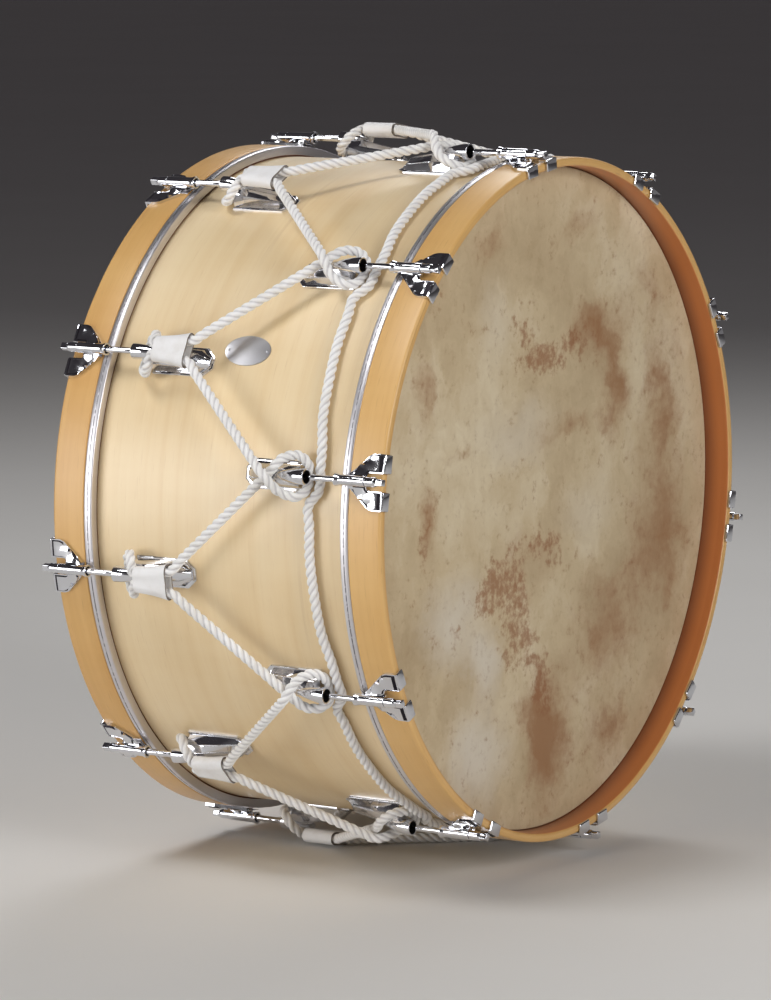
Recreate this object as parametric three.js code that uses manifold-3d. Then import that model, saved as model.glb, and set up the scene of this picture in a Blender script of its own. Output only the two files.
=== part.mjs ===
// Marching bass drum: a bent ply shell with a skin head on each side, pulled down by ten rods to a
// side, and dressed with a white rope that zigzags between the lugs of the two sides.
// Millimetres. +X runs along the drum's axis to the right-hand head, +Z is up, and the origin is
// the drum's centre. A station is one rod with its claw and lug. Its angle is taken from +Z
// towards +Y, and its own axes are: out along the drum's axis, sideways round the shell, and up
// away from the axis.
import * as THREE from 'three';
import { mergeVertices } from 'three/addons/utils/BufferGeometryUtils.js';
import Module from 'manifold-3d';

const wasm = await Module();
wasm.setup();

// Driving dimensions
const shellOuterRadius = 329;
const shellWall = 6;
const shellHalfLength = 161;
const bearingEdgeFlat = 1.5;
const bearingEdgeSlope = 4.5;
const seatGap = 0.3;
const stationsPerSide = 10;
const rightPhaseDegrees = 27;
const leftPhaseDegrees = 9;
const ringSegments = 60;

// Heads
const skinThickness = 1.2;
const skinEdgeCut = 1.2;
const skinSkirt = 18;

// Flesh hoops
const fleshHoopWidth = 9;
const fleshHoopDepth = 9.2;
const fleshGrooveWidth = 2.4;
const fleshGrooveDepth = 1;
const fleshBevel = 1.2;

// Counterhoops
const counterhoopHeight = 36.5;
const counterhoopWall = 9;
const counterhoopStand = 27.5;
const counterhoopRound = 2.5;

// Tension rods
const rodLift = 10;
const rodRadius = 3;
const rodSides = 6;
const rodBite = 21;
const rodHeadRadius = 4.7;
const rodHeadLength = 10.2;
const rodKeyAcrossFlats = 6.35;
const rodKeySides = 4;
const rodKeyLength = 9.5;

// Claws
const clawBarrelRadius = 5.2;
const clawBarrelSides = 8;
const clawBarrelLength = 33.5;
const clawBarrelSetback = 12.5;
const clawFlareRadius = 6.2;
const clawFlareLength = 3;
const clawPlateThickness = 3;
const clawLength = 39.8;
const clawApexHalfWidth = 6;
const clawSideLength = 16.8;
const clawHalfWidth = 27;
const clawNotchHalfWidth = 8.5;
const clawNotchDepth = 19.5;
const clawTabThickness = 4;
const clawTabDepth = 10;
const clawWebHalfWidth = 3.4;

// Lug casings
const lugSetback = 50;
const lugLength = 81;
const lugHalfWidth = 14.5;
const lugFlange = 3;
const lugShoulderHalfWidth = 9.5;
const lugShoulderShare = 0.62;
const lugRidgeHalfWidth = 4.5;
const lugRidgeLow = 13;
const lugRidgeHigh = 22.5;
const lugHipLength = 13;
const lugTipWidthShare = 0.45;
const lugTipHeight = 5;
const lugSink = 1;
const lugBossRadius = 8;
const lugBossTipRadius = 3;
const lugBossLength = 31;
const lugBossOverhang = 13.5;
const lugBossSides = 8;
const lugMouthRadius = 6.5;
const lugMouthDepth = 5;

// Rope
const ropeRadius = 5;
const ropeSides = 8;
const ropeGap = 0.4;
const crossingSetback = 27.5;
const crossingSink = 2.4;
const loopShoulderSetback = 11.5;
const loopShoulderInset = 2;
const loopSideSetback = 1;
const loopSideRoom = 5;
const loopSideLift = 14.5;
const loopCornerReach = 6;
const loopCornerInset = 1.5;
const loopCornerLift = 3.9;
const loopEndRoom = 1.7;
const earLoopSetback = 8.5;
const earLoopDrop = 7.5;
const earLoopInset = 3;
const ringRopeLift = 0.2;

// The ring rope's way past a lug, as [beyond the lug's rod end, sideways]. It nears the lug inside
// the boss's end, swings out past it under the rod, and drifts back in on its way to the next lug.
const ringRopeAtLug = [[-4.5, -44], [-6, -28], [5, -12], [5, 8], [4, 30], [0, 54]];

// Its two points between one lug and the next, as [beyond the rod end, ahead of halfway].
const ringRopeBetween = [[-2.5, -9], [-4.5, 30]];

// Ears
const earLength = 41;
const earSetback = 32;
const earThickness = 1.8;
const earNarrowHalfWidth = 13;
const earWideHalfWidth = 18;
const earLift = 31.5;
const earRopeRoom = 0.7;
const earArcSteps = 4;

// Air vent
const ventRadius = 6;
const ventSides = 12;
const ventDegrees = 90;

// One overrun serves every cut, and points closer than the weld distance are one.
const overrun = 2;
const weldDistance = 0.003;

// Worked-out sizes
const shellInnerRadius = shellOuterRadius - shellWall;
const skinInnerRadius = shellOuterRadius + seatGap;
const skinOuterRadius = skinInnerRadius + skinThickness;
const skinInnerFace = shellHalfLength + seatGap;
const skinOuterFace = skinInnerFace + skinThickness;
const fleshInnerRadius = skinOuterRadius + seatGap;
const fleshOuterRadius = fleshInnerRadius + fleshHoopDepth;
const counterhoopOuterRadius = fleshOuterRadius;
const counterhoopInnerRadius = counterhoopOuterRadius - counterhoopWall;
const counterhoopRim = skinOuterFace + counterhoopStand;
const counterhoopInnerEdge = counterhoopRim - counterhoopHeight;
const fleshOuterEdge = counterhoopInnerEdge - seatGap;
const fleshInnerEdge = fleshOuterEdge - fleshHoopWidth;
const rodCircleRadius = counterhoopOuterRadius + rodLift;
const lugRodEnd = shellHalfLength - lugSetback;
const lugInnerEnd = lugRodEnd - lugLength;
const lugBaseEnd = lugRodEnd - lugBossOverhang;
const clawInnerFace = counterhoopRim + seatGap;
const clawOuterFace = clawInnerFace + clawTabThickness;
const clawApex = clawOuterFace - clawLength;
const clawShoulder = clawOuterFace - clawSideLength;
const clawNotchRoot = clawOuterFace - clawNotchDepth;
const clawBarrelOuterEnd = counterhoopRim - clawBarrelSetback;
const clawBarrelInnerEnd = clawBarrelOuterEnd - clawBarrelLength;
const earRodEnd = lugRodEnd - earSetback;
const earInnerEnd = earRodEnd - earLength;
const earAxisRadius = shellOuterRadius + earLift;
const loopHalfWidth = lugHalfWidth + loopSideRoom;
const stationStep = 360 / stationsPerSide;
const facetFlat = Math.cos(Math.PI / ringSegments);
const clawSeatRadius = counterhoopOuterRadius * facetFlat + seatGap;
const ropeOverShell = shellOuterRadius + ropeRadius + ropeGap;

// A ring or disc turned about the drum's axis from a closed outline of [distance along, radius].
function turned(outline) {
  const points = [...outline, outline[0]].map(([along, radius]) => new THREE.Vector2(radius, along));
  const geometry = new THREE.LatheGeometry(points, ringSegments);
  return geometry.rotateZ(-Math.PI / 2);
}

// A cylinder lying along the drum's axis between two places, centred on a height.
function axialCylinder(radius, from, to, sides, height) {
  const geometry = new THREE.CylinderGeometry(radius, radius, to - from, sides);
  return geometry.rotateZ(-Math.PI / 2).translate((from + to) / 2, 0, height);
}

// A hole that a rod turns in: its flats clear the rod's corners.
function rodHole(from, to) {
  const radius = (rodRadius + seatGap) / Math.cos(Math.PI / rodSides);
  return toSolid(axialCylinder(radius, from, to, rodSides, rodCircleRadius));
}

// A flat outline of [along, sideways] points, made thick upwards from a height.
function plate(outline, thickness, height) {
  const shape = new THREE.Shape(outline.map(([along, side]) => new THREE.Vector2(along, side)));
  const geometry = new THREE.ExtrudeGeometry(shape, { depth: thickness, bevelEnabled: false });
  return geometry.translate(0, 0, height);
}

// A closed skin through matching rings of points. A hollow loft also has an inner set of rings.
function lofted(rings, innerRings = null) {
  const count = rings[0].length;
  const walls = innerRings ? [rings, [...innerRings].reverse()] : [rings];
  const all = walls.flat();
  const positions = all.flat().flatMap((point) => point.toArray());
  const index = [];
  const bands = innerRings ? all.length : all.length - 1;
  for (let band = 0; band < bands; band += 1) {
    const here = band * count;
    const next = ((band + 1) % all.length) * count;
    for (let i = 0; i < count; i += 1) {
      const j = (i + 1) % count;
      index.push(here + i, here + j, next + j, here + i, next + j, next + i);
    }
  }
  if (!innerRings) {
    const last = (all.length - 1) * count;
    for (let i = 1; i < count - 1; i += 1) {
      index.push(0, i + 1, i, last, last + i, last + i + 1);
    }
  }
  const geometry = new THREE.BufferGeometry();
  geometry.setAttribute('position', new THREE.Float32BufferAttribute(positions, 3));
  geometry.setIndex(index);
  return geometry;
}

// three.js geometry to a solid that can be joined and cut, and back.
function toSolid(geometry) {
  const bare = geometry.clone();
  bare.deleteAttribute('normal');
  bare.deleteAttribute('uv');
  const merged = mergeVertices(bare, weldDistance);
  return new wasm.Manifold(new wasm.Mesh({
    numProp: 3,
    vertProperties: new Float32Array(merged.attributes.position.array),
    triVerts: new Uint32Array(merged.index.array),
  }));
}

function toGeometry(solid) {
  const mesh = solid.getMesh();
  const geometry = new THREE.BufferGeometry();
  geometry.setAttribute('position', new THREE.Float32BufferAttribute(mesh.vertProperties, 3));
  geometry.setIndex([...mesh.triVerts]);
  geometry.computeVertexNormals();
  return geometry;
}

// A station's place: turned to its angle round the drum, and end for end on the left side.
function stationMatrix(side, degrees) {
  const turn = new THREE.Matrix4().makeRotationX(-THREE.MathUtils.degToRad(degrees));
  const flip = new THREE.Matrix4().makeRotationZ(side === 'left' ? Math.PI : 0);
  return turn.multiply(flip);
}

function stationDegrees(side, number) {
  const phase = side === 'left' ? leftPhaseDegrees : rightPhaseDegrees;
  return phase + stationStep * number;
}

// A point by its place along the drum, its distance sideways round the shell and its radius.
function drumPoint(along, sideways, radius, degrees) {
  const point = new THREE.Vector3(along, sideways, radius);
  return point.applyAxisAngle(new THREE.Vector3(1, 0, 0), -THREE.MathUtils.degToRad(degrees));
}

// Shell: a straight tube, its two edges cut back on the inside to a narrow bearing edge.
function makeShellTube() {
  const slopeStart = shellHalfLength - bearingEdgeSlope;
  const edgeRadius = shellOuterRadius - bearingEdgeFlat;
  return turned([
    [-shellHalfLength, shellOuterRadius],
    [shellHalfLength, shellOuterRadius],
    [shellHalfLength, edgeRadius],
    [slopeStart, shellInnerRadius],
    [-slopeStart, shellInnerRadius],
    [-shellHalfLength, edgeRadius],
  ]);
}

// Lug casing: a flanged, ridged bar with a hipped inner end, and a bullet-shaped boss that grows
// out of the ridge and overhangs the base, where the rod screws in and the rope tucks under.
function makeLug() {
  const section = (along, widthShare, ridgeHeight) => {
    const foot = shellOuterRadius - lugSink;
    const flange = shellOuterRadius + lugFlange;
    const ridge = shellOuterRadius + ridgeHeight;
    const shoulder = flange + (ridge - flange) * lugShoulderShare;
    const half = [
      [lugHalfWidth, foot],
      [lugHalfWidth, flange],
      [lugShoulderHalfWidth, shoulder],
      [lugRidgeHalfWidth, ridge],
    ];
    const mirrored = half.map(([side, height]) => [-side, height]).reverse();
    return [...half, ...mirrored].map(([side, height]) => (
      new THREE.Vector3(along, side * widthShare, height)));
  };
  const body = toSolid(lofted([
    section(lugInnerEnd, lugTipWidthShare, lugTipHeight),
    section(lugInnerEnd + lugHipLength, 1, lugRidgeLow),
    section(lugBaseEnd, 1, lugRidgeHigh),
  ]));
  const bullet = new THREE.CylinderGeometry(
    lugBossTipRadius, lugBossRadius, lugBossLength, lugBossSides);
  bullet.rotateZ(Math.PI / 2).translate(lugRodEnd - lugBossLength / 2, 0, rodCircleRadius);
  const boss = toSolid(bullet);
  const thread = rodHole(lugRodEnd - rodBite - overrun, lugRodEnd + overrun);
  const mouth = toSolid(axialCylinder(
    lugMouthRadius, lugRodEnd - lugMouthDepth, lugRodEnd + overrun, lugBossSides, rodCircleRadius));
  return body.add(boss).subtract(thread).subtract(mouth);
}

function makeShell() {
  const lug = makeLug();
  let shell = toSolid(makeShellTube());
  for (const side of ['right', 'left']) {
    for (let number = 0; number < stationsPerSide; number += 1) {
      shell = shell.add(lug.transform(stationMatrix(side, stationDegrees(side, number)).elements));
    }
  }
  const vent = new THREE.CylinderGeometry(
    ventRadius, ventRadius, shellWall + 2 * overrun, ventSides);
  vent.rotateX(Math.PI / 2).translate(0, 0, shellOuterRadius - shellWall / 2);
  const ventTurn = new THREE.Matrix4().makeRotationX(-THREE.MathUtils.degToRad(ventDegrees));
  return toGeometry(shell.subtract(toSolid(vent.applyMatrix4(ventTurn))));
}

// Head: a flat skin that turns down over the bearing edge and under the flesh hoop.
function makeHead() {
  const skirtEnd = skinOuterFace - skinSkirt;
  return turned([
    [skinInnerFace, 0],
    [skinInnerFace, skinInnerRadius],
    [skirtEnd, skinInnerRadius],
    [skirtEnd, skinOuterRadius],
    [skinOuterFace - skinEdgeCut, skinOuterRadius],
    [skinOuterFace, skinOuterRadius - skinEdgeCut],
    [skinOuterFace, 0],
  ]);
}

// Flesh hoop: a bright metal ring with bevelled corners and a fine groove round its middle.
function makeFleshHoop() {
  const middle = (fleshInnerEdge + fleshOuterEdge) / 2;
  const halfGroove = fleshGrooveWidth / 2;
  return turned([
    [fleshInnerEdge, fleshInnerRadius],
    [fleshInnerEdge, fleshOuterRadius - fleshBevel],
    [fleshInnerEdge + fleshBevel, fleshOuterRadius],
    [middle - halfGroove, fleshOuterRadius],
    [middle, fleshOuterRadius - fleshGrooveDepth],
    [fleshOuterEdge, fleshOuterRadius],
    [fleshOuterEdge, fleshInnerRadius],
  ]);
}

// Counterhoop: a bent wooden hoop with all its edges eased.
function makeCounterhoop() {
  const ease = counterhoopRound;
  const innerEase = counterhoopRound / 2;
  return turned([
    [counterhoopInnerEdge, counterhoopInnerRadius],
    [counterhoopInnerEdge, counterhoopOuterRadius - innerEase],
    [counterhoopInnerEdge + innerEase, counterhoopOuterRadius],
    [counterhoopRim - ease, counterhoopOuterRadius],
    [counterhoopRim, counterhoopOuterRadius - ease],
    [counterhoopRim, counterhoopInnerRadius + ease],
    [counterhoopRim - ease, counterhoopInnerRadius],
  ]);
}

// Tension rod: a thin screw with a round head, which bears on the claw's barrel, and a square end
// for the key.
function makeRod() {
  const headStart = clawBarrelOuterEnd + seatGap;
  const headEnd = headStart + rodHeadLength;
  const shank = axialCylinder(rodRadius, lugRodEnd - rodBite, headStart, rodSides, 0);
  const head = axialCylinder(rodHeadRadius, headStart, headEnd, clawBarrelSides, 0);
  const key = axialCylinder(
    rodKeyAcrossFlats * Math.SQRT1_2, headEnd, headEnd + rodKeyLength, rodKeySides, 0);
  return toGeometry(toSolid(shank).add(toSolid(head)).add(toSolid(key)));
}

// Claw: a barrel for the rod, flared at its inner end, on a swallow-tailed plate, whose two wings
// hook over the hoop's rim.
function makeClaw() {
  const wings = plate([
    [clawApex, -clawApexHalfWidth],
    [clawShoulder, -clawHalfWidth],
    [clawOuterFace, -clawHalfWidth],
    [clawOuterFace, -clawNotchHalfWidth],
    [clawNotchRoot, -clawNotchHalfWidth],
    [clawNotchRoot, clawNotchHalfWidth],
    [clawOuterFace, clawNotchHalfWidth],
    [clawOuterFace, clawHalfWidth],
    [clawShoulder, clawHalfWidth],
    [clawApex, clawApexHalfWidth],
  ], clawPlateThickness, clawSeatRadius);
  const tabFoot = clawSeatRadius - clawTabDepth;
  const tab = (direction) => toSolid(plate([
    [clawInnerFace, Math.min(direction * clawNotchHalfWidth, direction * clawHalfWidth)],
    [clawOuterFace, Math.min(direction * clawNotchHalfWidth, direction * clawHalfWidth)],
    [clawOuterFace, Math.max(direction * clawNotchHalfWidth, direction * clawHalfWidth)],
    [clawInnerFace, Math.max(direction * clawNotchHalfWidth, direction * clawHalfWidth)],
  ], clawTabDepth + clawPlateThickness / 2, tabFoot));
  const barrel = toSolid(axialCylinder(
    clawBarrelRadius, clawBarrelInnerEnd, clawBarrelOuterEnd, clawBarrelSides, rodCircleRadius));
  const flareEnd = clawBarrelInnerEnd + clawFlareLength;
  const flare = toSolid(axialCylinder(
    clawFlareRadius, clawBarrelInnerEnd, flareEnd, clawBarrelSides, rodCircleRadius));
  const webHeight = rodCircleRadius - clawSeatRadius;
  const web = toSolid(plate([
    [clawApex, -clawWebHalfWidth],
    [clawNotchRoot, -clawWebHalfWidth],
    [clawNotchRoot, clawWebHalfWidth],
    [clawApex, clawWebHalfWidth],
  ], webHeight, clawSeatRadius));
  const bore = rodHole(clawBarrelInnerEnd - overrun, clawBarrelOuterEnd + overrun);
  const joined = toSolid(wings).add(tab(1)).add(tab(-1)).add(web).add(barrel).add(flare);
  return toGeometry(joined.subtract(bore));
}

// Rope: a closed tube through hand-placed points, square to the halved angle at each of them.
function makeRope(points) {
  const count = points.length;
  const directions = points.map((point, i) => {
    const before = points[(i + count - 1) % count];
    const after = points[(i + 1) % count];
    const arriving = point.clone().sub(before).normalize();
    const leaving = after.clone().sub(point).normalize();
    return arriving.add(leaving).normalize();
  });
  const rings = points.map((point, i) => {
    const direction = directions[i];
    const outward = new THREE.Vector3(0, point.y, point.z).normalize();
    outward.addScaledVector(direction, -outward.dot(direction)).normalize();
    const across = direction.clone().cross(outward);
    return Array.from({ length: ropeSides }, (unused, corner) => {
      const angle = (2 * Math.PI * (corner + 0.5)) / ropeSides;
      return point.clone()
        .addScaledVector(across, ropeRadius * Math.sin(angle))
        .addScaledVector(outward, ropeRadius * Math.cos(angle));
    });
  });
  const positions = rings.flat().flatMap((corner) => corner.toArray());
  const index = [];
  for (let ring = 0; ring < count; ring += 1) {
    const here = ring * ropeSides;
    const next = ((ring + 1) % count) * ropeSides;
    for (let i = 0; i < ropeSides; i += 1) {
      const j = (i + 1) % ropeSides;
      index.push(here + i, here + j, next + j, here + i, next + j, next + i);
    }
  }
  const geometry = new THREE.BufferGeometry();
  geometry.setAttribute('position', new THREE.Float32BufferAttribute(positions, 3));
  geometry.setIndex(index);
  return geometry;
}

// The rope's way round the end of a lug's base, as [along, sideways, radius] from one side to the
// other, low under the boss.
const loopHalf = [
  [lugBaseEnd - loopSideSetback, loopHalfWidth, shellOuterRadius + loopSideLift],
  [lugBaseEnd + loopCornerReach, lugHalfWidth - loopCornerInset, ropeOverShell + loopCornerLift],
];
const loopMiddle = [lugBaseEnd + ropeRadius + loopEndRoom, 0, ropeOverShell];

// Zigzag rope: crossed over each right-hand lug, and side by side through each left-hand ear.
function makeZigzagRope() {
  const crossingLow = shellOuterRadius + lugRidgeHigh - crossingSink + ropeRadius + ropeGap;
  const crossingHigh = crossingLow + 2 * (ropeRadius + ropeGap);
  const earWideSide = earWideHalfWidth - earThickness - earRopeRoom - ropeRadius;
  const earNarrowSide = earNarrowHalfWidth - earThickness - earRopeRoom - ropeRadius;
  const points = [];
  for (let number = 0; number < stationsPerSide; number += 1) {
    const left = stationDegrees('left', number);
    const right = stationDegrees('right', number);
    const leftPoint = ([along, side, radius]) => points.push(
      drumPoint(-along, side, radius, left));
    const rightPoint = ([along, side, radius]) => points.push(
      drumPoint(along, side, radius, right));
    const mirrored = ([along, side, radius]) => [along, -side, radius];
    const earPoints = [
      [earInnerEnd - overrun, earWideSide, earAxisRadius],
      [earRodEnd + overrun, earNarrowSide, earAxisRadius],
      [lugBaseEnd - earLoopSetback, loopHalfWidth - earLoopInset, earAxisRadius - earLoopDrop],
    ];
    const crossingPlace = lugBaseEnd - crossingSetback;
    const shoulder = [
      lugBaseEnd - loopShoulderSetback,
      loopHalfWidth - loopShoulderInset,
      rodCircleRadius,
    ];
    earPoints.map(mirrored).forEach(leftPoint);
    loopHalf.map(mirrored).forEach(leftPoint);
    leftPoint(loopMiddle);
    [...loopHalf].reverse().forEach(leftPoint);
    [...earPoints].reverse().forEach(leftPoint);
    rightPoint([crossingPlace, 0, crossingLow]);
    rightPoint(shoulder);
    loopHalf.forEach(rightPoint);
    rightPoint(loopMiddle);
    [...loopHalf].reverse().map(mirrored).forEach(rightPoint);
    rightPoint(mirrored(shoulder));
    rightPoint([crossingPlace, 0, crossingHigh]);
  }
  return makeRope(points);
}

// Ring rope: lies on the shell all the way round, and swings out round each loop, under the rod.
function makeRingRope() {
  const lie = ropeOverShell + ringRopeLift;
  const points = [];
  for (let number = 0; number < stationsPerSide; number += 1) {
    const degrees = stationDegrees('right', number);
    const runs = [[ringRopeAtLug, degrees], [ringRopeBetween, degrees + stationStep / 2]];
    for (const [run, angle] of runs) {
      for (const [beyond, sideways] of run) {
        const height = Math.sqrt(lie ** 2 - sideways ** 2);
        points.push(drumPoint(lugRodEnd + beyond, sideways, height, angle));
      }
    }
  }
  return makeRope(points);
}

// Ear: a leather sleeve closed round the two rope legs, narrow towards the rod.
function makeEar() {
  const outline = (along, halfWidth, inset) => {
    const radius = earThickness + earRopeRoom + ropeRadius - inset;
    const reach = halfWidth - inset - radius;
    const points = [];
    for (const direction of [1, -1]) {
      for (let step = 0; step <= earArcSteps; step += 1) {
        const angle = Math.PI * (step / earArcSteps - 0.5);
        points.push(new THREE.Vector3(
          along,
          direction * (reach + radius * Math.cos(angle)),
          earAxisRadius + direction * radius * Math.sin(angle),
        ));
      }
    }
    return points;
  };
  const ends = [[earInnerEnd, earWideHalfWidth], [earRodEnd, earNarrowHalfWidth]];
  return lofted(
    ends.map(([along, halfWidth]) => outline(along, halfWidth, 0)),
    ends.map(([along, halfWidth]) => outline(along, halfWidth, earThickness)),
  );
}

// Materials
const finish = (color, roughness, metalness) => (
  new THREE.MeshStandardMaterial({ color, roughness, metalness, flatShading: true }));
const paleMaple = finish(0xe6cfa0, 0.45, 0);
const amberMaple = finish(0xd79a4a, 0.4, 0);
const calfskin = finish(0xb3a283, 0.7, 0);
const brightMetal = finish(0xc9cbd0, 0.3, 1);
const chrome = finish(0xd8dade, 0.1, 1);
const whiteRope = finish(0xece6d8, 0.9, 0);
const whiteLeather = finish(0xe9e5de, 0.7, 0);

const group = new THREE.Group();

function place(name, geometry, material, parent) {
  const mesh = new THREE.Mesh(geometry, material);
  mesh.name = name;
  parent.add(mesh);
  return mesh;
}

place('shell', makeShell(), paleMaple, group);
place('zigzag_rope', makeZigzagRope(), whiteRope, group);
place('ring_rope', makeRingRope(), whiteRope, group);

const headGeometry = makeHead();
const fleshHoopGeometry = makeFleshHoop();
const counterhoopGeometry = makeCounterhoop();
const rodGeometry = makeRod();
const clawGeometry = makeClaw();
const earGeometry = makeEar();

for (const side of ['right', 'left']) {
  const half = new THREE.Group();
  half.rotation.z = side === 'left' ? Math.PI : 0;
  group.add(half);
  place(`${side}_head`, headGeometry, calfskin, half);
  place(`${side}_flesh_hoop`, fleshHoopGeometry, brightMetal, half);
  place(`${side}_counterhoop`, counterhoopGeometry, amberMaple, half);
  for (let number = 0; number < stationsPerSide; number += 1) {
    const label = String(number + 1).padStart(2, '0');
    const turn = new THREE.Group();
    turn.rotation.x = -THREE.MathUtils.degToRad(stationDegrees(side, number));
    group.add(turn);
    const station = new THREE.Group();
    station.rotation.z = half.rotation.z;
    turn.add(station);
    place(`${side}_rod_${label}`, rodGeometry, chrome, station).position.z = rodCircleRadius;
    place(`${side}_claw_${label}`, clawGeometry, chrome, station);
    if (side === 'left') {
      place(`ear_${label}`, earGeometry, whiteLeather, station);
    }
  }
}

export default group;
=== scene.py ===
import math

import bmesh
import bpy
from mathutils import Matrix, Vector
from mathutils.geometry import interpolate_bezier


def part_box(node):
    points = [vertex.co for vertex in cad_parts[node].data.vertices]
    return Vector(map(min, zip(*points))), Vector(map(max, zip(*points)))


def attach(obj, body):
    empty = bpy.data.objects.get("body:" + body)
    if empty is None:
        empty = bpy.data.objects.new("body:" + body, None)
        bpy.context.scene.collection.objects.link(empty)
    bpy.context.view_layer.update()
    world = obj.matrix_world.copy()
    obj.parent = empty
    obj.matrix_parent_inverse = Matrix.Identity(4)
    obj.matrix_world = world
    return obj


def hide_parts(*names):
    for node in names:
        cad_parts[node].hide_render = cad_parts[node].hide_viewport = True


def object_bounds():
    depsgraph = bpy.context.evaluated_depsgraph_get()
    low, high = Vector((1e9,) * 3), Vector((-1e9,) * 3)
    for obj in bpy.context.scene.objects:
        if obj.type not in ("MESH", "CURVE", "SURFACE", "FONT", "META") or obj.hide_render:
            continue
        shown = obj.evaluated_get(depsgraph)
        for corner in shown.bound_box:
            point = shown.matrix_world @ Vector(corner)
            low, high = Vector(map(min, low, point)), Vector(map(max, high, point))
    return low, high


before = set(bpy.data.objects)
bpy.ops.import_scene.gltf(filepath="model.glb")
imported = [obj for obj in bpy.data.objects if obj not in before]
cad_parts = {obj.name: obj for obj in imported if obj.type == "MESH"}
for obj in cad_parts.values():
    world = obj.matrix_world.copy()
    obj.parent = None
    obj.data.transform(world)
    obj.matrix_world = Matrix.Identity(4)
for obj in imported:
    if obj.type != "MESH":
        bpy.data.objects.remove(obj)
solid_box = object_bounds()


# Camera: a long lens in front of the right-hand head, a little above the drum's axis, where the
# photograph was taken from. The right-hand head faces it and the shell runs off to the left.
camera_place = Vector((2.7696, -4.3311, 0.6564))
camera_right = Vector((0.8404, 0.5420, 0))
camera_up = Vector((-0.0699, 0.1085, 0.9916))
camera_back = Vector((0.5374, -0.8334, 0.1291))
lens = bpy.data.cameras.new("camera")
lens.lens = 184.6
lens.sensor_width = 36
camera = bpy.data.objects.new("camera", lens)
bpy.context.scene.collection.objects.link(camera)
turn = Matrix((camera_right, camera_up, camera_back)).transposed().to_4x4()
camera.matrix_world = Matrix.Translation(camera_place) @ turn
bpy.context.scene.camera = camera


# Shell: a tube of bent maple plies, straight from edge to edge and lacquered a satin finish. The
# grain runs round the drum, and both edges are cut back on the inside to a narrow bearing edge.
skin_thickness = 0.0012
skin_gap = 0.0003
shell_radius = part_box("right_head")[1].y - skin_thickness - skin_gap
shell_wall = 0.006
shell_edge = 0.161
bearing_flat = 0.0015
bearing_slope = 0.0045
ring_steps = 240
axis_weld = 0.000002
ply_change = 260.0
core_fade = 0.0006
core_lit_run = 0.020


def colour(red, green, blue):
    """A colour read off the photograph from 0 to 255, as the linear values a shader takes."""
    shares = [channel / 255 for channel in (red, green, blue)]
    return (*[((c + 0.055) / 1.055) ** 2.4 if c > 0.04 else c / 12.92 for c in shares], 1)


class Value:
    """A number that varies over a surface. Arithmetic on it adds Math nodes."""

    def __init__(self, finish, socket):
        self.finish = finish
        self.socket = socket

    def maths(self, operation, first, second):
        return self.finish.node("ShaderNodeMath", {"operation": operation}, {0: first, 1: second})

    def __add__(self, other):
        return self.maths("ADD", self, other)

    def __radd__(self, other):
        return self.maths("ADD", other, self)

    def __sub__(self, other):
        return self.maths("SUBTRACT", self, other)

    def __rsub__(self, other):
        return self.maths("SUBTRACT", other, self)

    def __mul__(self, other):
        return self.maths("MULTIPLY", self, other)

    def __rmul__(self, other):
        return self.maths("MULTIPLY", other, self)

    def clipped(self, low, high):
        """0 below low, 1 above high, and smooth between them."""
        return self.finish.node(
            "ShaderNodeMapRange", {"interpolation_type": "SMOOTHSTEP"},
            {"Value": self, "From Min": low, "From Max": high})


class Finish:
    """A material made of nodes."""

    def __init__(self, name, **sockets):
        self.material = bpy.data.materials.new(name)
        self.material.use_nodes = True
        self.tree = self.material.node_tree
        self.shader = self.tree.nodes["Principled BSDF"]
        self.place = self.node("ShaderNodeTexCoord", output="Object")
        self.feed(self.shader, {key.replace("_", " "): value for key, value in sockets.items()})

    def node(self, kind, settings=None, sockets=None, output=0):
        """A node of one kind: its settings first, then what its sockets hold or are linked to."""
        made = self.tree.nodes.new(kind)
        for name, value in (settings or {}).items():
            if name == "stops":
                stops = made.color_ramp.elements
                for stop, (position, shade) in zip((stops[0], stops[1]), (value[0], value[-1])):
                    stop.position, stop.color = position, shade
                for position, shade in value[1:-1]:
                    stops.new(position).color = shade
            else:
                setattr(made, name, value)
        self.feed(made, sockets or {})
        return Value(self, made.outputs[output])

    def feed(self, node, sockets):
        for name, value in sockets.items():
            if isinstance(value, Value):
                self.tree.links.new(value.socket, node.inputs[name])
            else:
                node.inputs[name].default_value = value

    def stretched(self, scale, vector=None):
        return self.node("ShaderNodeMapping", None, {"Vector": vector or self.place, "Scale": scale})

    def noise(self, vector, scale, detail=3.0, roughness=0.5):
        return self.node("ShaderNodeTexNoise", None, {
            "Vector": vector, "Scale": scale, "Detail": detail, "Roughness": roughness})

    def mixed(self, share, first, second):
        return self.node("ShaderNodeMix", {"data_type": "RGBA"}, {0: share, 6: first, 7: second}, 2)

    def from_middle(self):
        """How far a point lies from the middle of the drum, measured along its axis."""
        x_place = self.node("ShaderNodeSeparateXYZ", None, {0: self.place})
        return self.size_of(x_place)

    def size_of(self, value):
        return self.node("ShaderNodeMath", {"operation": "ABSOLUTE"}, {0: value})

    def length_of(self, vector):
        return self.node("ShaderNodeVectorMath", {"operation": "LENGTH"}, {0: vector}, "Value")

    def bumped(self, height, distance, strength=1.0):
        self.feed(self.shader, {"Normal": self.node("ShaderNodeBump", None, {
            "Height": height, "Distance": distance, "Strength": strength})})


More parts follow.
